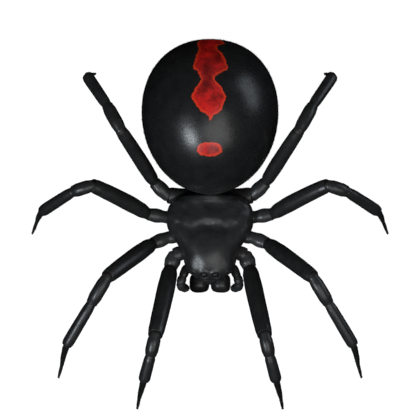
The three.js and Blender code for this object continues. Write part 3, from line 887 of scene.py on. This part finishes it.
def add_limb(form, segments):
    for segment in segments:
        segment.add_to(form)
    for before, after in zip(segments, segments[1:]):
        radius = 0.9 * min(before.radius(1.0), after.radius(0.0) * 1.05)
        ahead = unit(before.axis + after.axis)
        add_membrane(form, after.start, ahead, after.across, radius)


CLAW_LENGTHS = {"leg": 0.13, "pedipalp": 0.1}
CLAW_WIDTH, MIDDLE_CLAW_WIDTH = 0.045, 0.035
CLAW_CURL = 1.3


def claw(form, root, ahead, down, length, width):
    """A small hook that curves from ahead to down."""
    turns = np.linspace(0, CLAW_CURL, 12)[:, None]
    path = root + ahead * length * np.sin(turns) + down * length * (1 - np.cos(turns))
    form.loft(tube(path, width * np.linspace(1, 0.15, 12), 10), along=0.3)


def leg_segments(number, sign):
    coxa, trochanter = HIP_WIDTHS[number]
    widths = {**LEG_WIDTHS, "coxa": coxa, "trochanter": trochanter, "femur": FEMUR_WIDTHS[number]}
    # Share of the painted highlight, a paler colour standing in for light, on each kind of segment of this
    # leg
    painted_light_shares = {kind: tone * LEG_PAINTED_LIGHT_SHARES[number] for kind, tone in HIP_PAINTED_LIGHT_SHARES.items()}
    return limb_segments(LEG_JOINTS[number], LEG_SEGMENTS, widths, painted_light_shares, sign)


LIMBS = {}
for side, sign in SIDES.items():
    for number in LEG_JOINTS:
        LIMBS[f"leg_{number}_{side}"] = leg_segments(number, sign)
    # The feelers carry the painted highlight of the hips on all their segments
    palp_painted_light = dict.fromkeys(PALP_SEGMENTS, PALP_PAINTED_LIGHT_SHARE)
    LIMBS[f"pedipalp_{side}"] = limb_segments(PALP_JOINTS, PALP_SEGMENTS, PALP_WIDTHS, palp_painted_light, sign)


def limbs():
    for name, segments in LIMBS.items():
        form = Form()
        add_limb(form, segments)
        form.piece(f"{name}_skin", LEG_SKIN, "leg_cuticle", [name])


def claws():
    for name, segments in LIMBS.items():
        tip = segments[-1]
        form = Form()
        root = tip.centre(0.93)
        length = CLAW_LENGTHS[name.split("_")[0]]
        ahead = unit(tip.axis + 0.5 * tip.up)
        down = unit(tip.axis - 0.6 * tip.up)
        for lean in (-tip.across, tip.across):
            claw(form, root + lean * 0.03, unit(ahead + 0.3 * lean), down, length, CLAW_WIDTH)
        claw(form, root - tip.up * 0.02, tip.axis, -tip.up, length * 0.6, MIDDLE_CLAW_WIDTH)
        form.piece(f"{name}_claws", FANG_HORN, "fang")


# Jaws and fangs

# The hollow for the fang and the swelling in front, on the left jaw: height, centre and reach
JAW_FORMS = [
    (-0.06, (0.545, -2.885, 1.12), (0.22, 0.4, 0.26)),
    (0.04, (0.645, -3.485, 2.75), (0.35, 0.4, 0.5)),
]
WRINKLE_DEPTH = 0.004


def jaw_rings(rows, turns, sign):
    """Rings round an upright jaw from its fang end up, squared in plan."""
    narrowing = 1 - JAW["taper"] * (0.5 - rows / 2) ** 2
    girth = (superellipse(rows, JAW["fullness"]) * narrowing)[:, None]
    wide, deep = (squared(wave(turns), JAW["plan_fullness"]) for wave in (np.cos, np.sin))
    out = sign * (JAW["out"] + JAW["half_width"] * girth * wide)
    along = JAW["along"] + JAW["half_depth"] * girth * deep
    up = np.broadcast_to((JAW["up"] + JAW["half_height"] * rows)[:, None], out.shape)
    return np.stack([out, along, up], -1)


def jaw_relief(rings, sign):
    z = rings[..., 2]
    wrinkles = np.sin(z * 31 + 2.2 * np.sin(rings[..., 0] * 5)) * np.clip(2.9 - z, 0, 1)
    return mounds(rings * (sign, 1, 1), JAW_FORMS) + WRINKLE_DEPTH * wrinkles


def jaws():
    rows, turns = -np.cos(pole_to_pole(90, 0.03)), full_turn(90)
    shares = np.linspace(0, 1, 40)
    first, last = FANG_WIDTHS
    for side, sign in SIDES.items():
        rings = jaw_rings(rows, turns, sign)
        loft_piece(
            f"chelicera_{side}_skin", rings + normals_of(rings) * jaw_relief(rings, sign)[..., None],
            JAW_SKIN, "shell_cuticle", [f"chelicera_{side}"],
            membrane=np.clip((1.4 - rings[..., 2]) / 0.3, 0, 0.6),
        )
        path = spline(FANG_PATH, shares) * (sign, 1, 1)
        rings = tube(path, first + (last - first) * shares**FANG_TAPER, 24)
        along = np.repeat(np.linspace(0, 1, len(rings))[:, None], 24, 1)
        loft_piece(f"fang_{side}_horn", rings, FANG_HORN, "fang", [f"fang_{side}"], along=along)


# Setae: fine stiff hairs that lean along the body. Each is a thin bent cone.

HAIR_WIDTH = 0.01
HAIR_LEAN = math.radians(20)
# A hair's corners are three round its root, three round its bend and the tip
HAIR_FACES = [(2, 1, 0), (0, 1, 4, 3), (1, 2, 5, 4), (2, 0, 3, 5), (3, 4, 6), (4, 5, 6), (5, 3, 6)]
HAIR_PATCH = np.array([(0, 0), (1, 0), (0.5, 1), (0.2, 0.2), (0.8, 0.2), (0.5, 0.8), (0.5, 0.5)])
PATCH_SIZE = 0.003


def hairs(roots, normals, lie, lengths, places):
    """Hairs that rise from the skin by the lean and bend along the lie, each with a place on it."""
    lie = unit(lie - normals * (lie * normals).sum(-1, keepdims=True))
    rise, flat = (unit(lie * math.cos(lean) + normals * math.sin(lean))
                  for lean in (HAIR_LEAN, HAIR_LEAN * 0.5))
    lengths = lengths[:, None]
    bends = roots + rise * lengths * 0.5
    return roots - normals * HAIR_WIDTH, bends, bends + flat * lengths * 0.5, places


def coat_piece(name, slot, groups):
    """One mesh of groups of hairs, unwrapped at the places of their roots on the skin."""
    roots, bends, tips, places = (np.vstack(parts) for parts in zip(*groups))
    ahead = unit(tips - roots)
    across = unit(np.cross(ahead, [0.23, 0.31, 0.92]))
    up = np.cross(across, ahead)
    wheel = [(across * math.cos(turn) + up * math.sin(turn)) * HAIR_WIDTH for turn in full_turn(3)]
    rows = [centre + spoke * share for centre, share in ((roots, 0.5), (bends, 0.36)) for spoke in wheel]
    starts = range(0, len(roots) * len(HAIR_PATCH), len(HAIR_PATCH))
    form = Form()
    form.points = [np.stack([*rows, tips], 1).reshape(-1, 3)]
    form.faces = [tuple(start + k for k in corners) for start in starts for corners in HAIR_FACES]
    mesh = form.piece(name, SETAE, slot)
    spots = (places[:, None] + (HAIR_PATCH - 0.5) * PATCH_SIZE).reshape(-1, 2)
    layer = mesh.uv_layers.new(name="OFBake")
    owners = np.empty(len(mesh.loops), np.int32)
    mesh.loops.foreach_get("vertex_index", owners)
    layer.data.foreach_set("uv", spots[owners].astype(np.float32).ravel())


# For each kind of segment: hairs for each square millimetre, and their length
SEGMENT_HAIRS = {
    "coxa": (6, 0.11), "trochanter": (6, 0.1), "femur": (9, 0.11), "patella": (11, 0.12),
    "tibia": (15, 0.13), "metatarsus": (34, 0.13), "tarsus": (60, 0.12), "palp_tarsus": (50, 0.14),
}


def limb_coat(side):
    groups = []
    names = [name for name in LIMBS if name.endswith(side)]
    for band, name in enumerate(names):
        segments = LIMBS[name]
        for step, segment in enumerate(segments):
            density, length = SEGMENT_HAIRS[segment.kind]
            count = int(density * segment.length * math.pi * segment.width)
            share = RNG.uniform(0.04, 0.97, count)
            turn = RNG.uniform(0, math.tau, count)
            wheel = segment.wheel(turn)
            roots = segment.centre(share) + wheel * segment.radius(share)[:, None]
            lengths = length * RNG.uniform(0.7, 1.25, count) * (1 - 0.25 * np.sin(turn))
            across = (band + turn / math.tau * 0.96) / len(names)
            down = (step + share * 0.96) / len(segments)
            groups.append(hairs(roots, wheel, segment.axis, lengths, np.stack([across, down], -1)))
    coat_piece(f"setae_limbs_{side}", "leg_cuticle", groups)


def grid_coat(name, slot, rings, count, length, lie, keep=None):
    """Hairs scattered evenly over a closed grid of rings, some left out again by their place."""
    rows, columns = rings.shape[:2]
    ahead = np.linalg.norm(np.diff(rings, axis=0), axis=-1).mean(1)
    around = np.linalg.norm(np.roll(rings, -1, 1) - rings, axis=-1).mean(1)[:-1]
    weight = ahead * around
    row = RNG.choice(rows - 1, count, p=weight / weight.sum())
    column = RNG.integers(0, columns, count)
    if keep is not None:
        good = keep(rings[row, column])
        row, column = row[good], column[good]
    part, slide = RNG.uniform(0, 1, (2, len(row), 1))
    beside = (column + 1) % columns
    low, high = (rings[k, column] * (1 - slide) + rings[k, beside] * slide for k in (row, row + 1))
    roots = low * (1 - part) + high * part
    places = np.stack([(column + slide[:, 0]) / columns, (row + part[:, 0]) / rows], -1) * 0.99
    lengths = length * RNG.uniform(0.65, 1.3, len(row))
    normals = normals_of(rings)[row, column]
    coat_piece(name, slot, [hairs(roots, normals, np.array(lie), lengths, places)])


def body_coats():
    angles = full_turn(160)
    rings = abdomen_rings(-np.cos(pole_to_pole(120, 0.012)), angles)
    grid_coat("setae_abdomen", "abdomen_skin", rings, 2600, 0.15, (0, 1, -0.2))
    rings = shell_rings(np.linspace(0.02, 0.98, 100), angles)
    grid_coat(
        "setae_carapace", "shell_cuticle", rings, 420, 0.1, (0, -1, 0.1),
        keep=lambda spots: spots[:, 2] > 2.95,
    )


def jaw_coat():
    rows, turns = -np.cos(pole_to_pole(60, 0.3)), full_turn(64)
    for side, sign in SIDES.items():
        grid_coat(
            f"setae_chelicera_{side}", "shell_cuticle", jaw_rings(rows, turns, sign), 150, 0.15, (0, 0, -1),
            keep=lambda spots: (spots[:, 2] < 2.9) & (np.abs(spots[:, 0]) > 0.3),
        )


# Stage: a pale floor, soft lights and the camera

FLOOR_HALF = 350
FLOOR_GLOW = 0.94
VIEW_CENTRE = (0.0, 0.755)
VIEW_HEIGHT = 4.0
VIEW_WIDTH = 21.5
CAMERA_DISTANCE = 800.0
SENSOR = 36.0


def floor():
    nodes = Nodes("pale_floor")
    colour = nodes.ramp(nodes.noise(8, 3), [(0.3, (0.23, 0.23, 0.23)), (0.7, (0.25, 0.25, 0.25))])
    material = nodes.finish(colour, 0.9, Emission_Color=(1, 1, 1), Emission_Strength=FLOOR_GLOW)
    mesh = bpy.data.meshes.new("floor")
    half = FLOOR_HALF * MM
    corners = [(-half, -half, 0), (half, -half, 0), (half, half, 0), (-half, half, 0)]
    mesh.from_pydata(corners, [], [(0, 1, 2, 3)])
    mesh.materials.append(material)
    sheet = new_object("floor", mesh)
    sheet.visible_glossy = False
    sheet.visible_diffuse = False


LIGHT_DISTANCE = 600


def area_light(name, azimuth, elevation, size, power, colour):
    """A soft light; azimuth 0 lies towards the head, 90 towards the spider's left."""
    a, e = math.radians(azimuth), math.radians(elevation)
    away = Vector((math.sin(a) * math.cos(e), -math.cos(a) * math.cos(e), math.sin(e)))
    lamp = bpy.data.lights.new(name, "AREA")
    lamp.shape = "RECTANGLE"
    lamp.size, lamp.size_y = size
    lamp.energy = power
    lamp.color = colour
    holder = new_object(name, lamp)
    holder.location = away * (LIGHT_DISTANCE * MM)
    holder.rotation_mode = "QUATERNION"
    holder.rotation_quaternion = (-away).to_track_quat("-Z", "Y")
    return holder


# How the soft sky brightens from below the horizon to overhead: directions, then strengths
SKY = (-0.02, 0.4, 0.002, 0.15)


def lights():
    area_light("key", -48, 44, (0.24, 0.05), 1.7, (0.86, 0.94, 1.0))
    area_light("front_top", 28, 62, (0.44, 0.44), 1.28, (1, 1, 1))
    area_light("rear_left", 115, 11, (0.42, 0.24), 0.62, (0.8, 0.9, 1.0))
    fill = area_light("rear_fill", 170, 40, (0.8, 0.8), 1.0, (1, 1, 1))
    fill.visible_glossy = False
    world = bpy.data.worlds.new("studio")
    world.use_nodes = True
    tree = world.node_tree
    split = tree.nodes.new("ShaderNodeSeparateXYZ")
    tree.links.new(tree.nodes.new("ShaderNodeTexCoord").outputs["Generated"], split.inputs["Vector"])
    rise = tree.nodes.new("ShaderNodeMapRange")
    tree.links.new(split.outputs["Z"], rise.inputs["Value"])
    for key, number in zip(RANGE_SOCKETS, SKY):
        rise.inputs[key].default_value = number
    tree.links.new(rise.outputs["Result"], tree.nodes["Background"].inputs["Strength"])
    bpy.context.scene.world = world


def camera():
    lens = bpy.data.cameras.new("camera")
    lens.type = "PERSP"
    lens.sensor_width = SENSOR
    lens.lens = SENSOR * CAMERA_DISTANCE / VIEW_WIDTH
    lens.clip_start = 0.01
    lens.clip_end = 10
    holder = new_object("camera", lens)
    holder.location = Vector((*VIEW_CENTRE, VIEW_HEIGHT + CAMERA_DISTANCE)) * MM
    bpy.context.scene.camera = holder
    bpy.context.scene.view_settings.view_transform = "Standard"


camera()
lights()
floor()
carapace()
underside_plates()
eyes()
abdomen()
waist()
spinnerets()
limbs()
claws()
jaws()
for side in SIDES:
    limb_coat(side)
body_coats()
jaw_coat()
